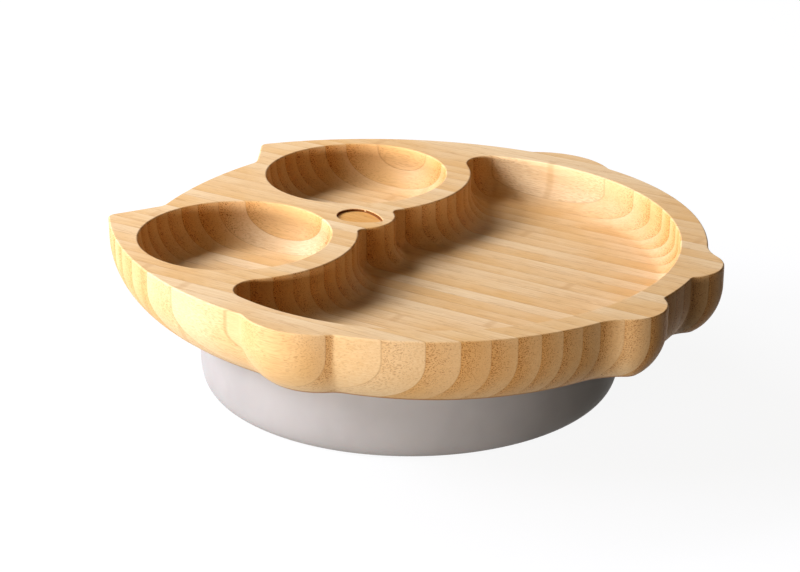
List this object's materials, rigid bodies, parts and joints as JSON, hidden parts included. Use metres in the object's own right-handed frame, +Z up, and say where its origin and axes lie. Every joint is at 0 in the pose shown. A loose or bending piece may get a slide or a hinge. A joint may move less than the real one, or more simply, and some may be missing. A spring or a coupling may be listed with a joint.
{
  "type": "divided bamboo plate with suction ring",
  "caption": "Round child's plate in an owl outline, milled from glued bamboo staves with two bowls and one compartment, on a pull-off silicone suction ring.",
  "frame": {"origin": "on the table, under the middle of the plate's outline", "axes": "+Z up, +Y from the feet to the ears along the staves, +X across the staves"},
  "size_m": [0.1934, 0.1994, 0.052],
  "materials": {
    "bamboo": "satin oiled bamboo with visible staves",
    "silicone": "matte grey food-grade silicone"
  },
  "bodies": {
    "plate": {"stave_01": "bamboo", "stave_02": "bamboo", "stave_03": "bamboo", "stave_04": "bamboo", "stave_05": "bamboo", "stave_06": "bamboo", "stave_07": "bamboo", "stave_08": "bamboo", "stave_09": "bamboo", "stave_10": "bamboo", "stave_11": "bamboo", "stave_12": "bamboo", "stave_13": "bamboo", "stave_14": "bamboo", "stave_15": "bamboo", "stave_16": "bamboo", "stave_17": "bamboo", "stave_18": "bamboo", "stave_19": "bamboo", "stave_20": "bamboo", "stave_21": "bamboo", "stave_22": "bamboo", "stave_23": "bamboo", "stave_24": "bamboo", "stave_25": "bamboo", "stave_26": "bamboo", "stave_27": "bamboo", "stave_28": "bamboo", "stave_29": "bamboo", "stave_30": "bamboo", "stave_31": "bamboo", "stave_32": "bamboo", "stave_33": "bamboo"},
    "suction_ring": {"suction_ring": "silicone"}
  },
  "joints": [
    {"name": "ring_pull_off", "type": "slide", "parent": "plate", "child": "suction_ring", "axis": [0, 0, -1], "range_m": [0, 0.03]}
  ]
}
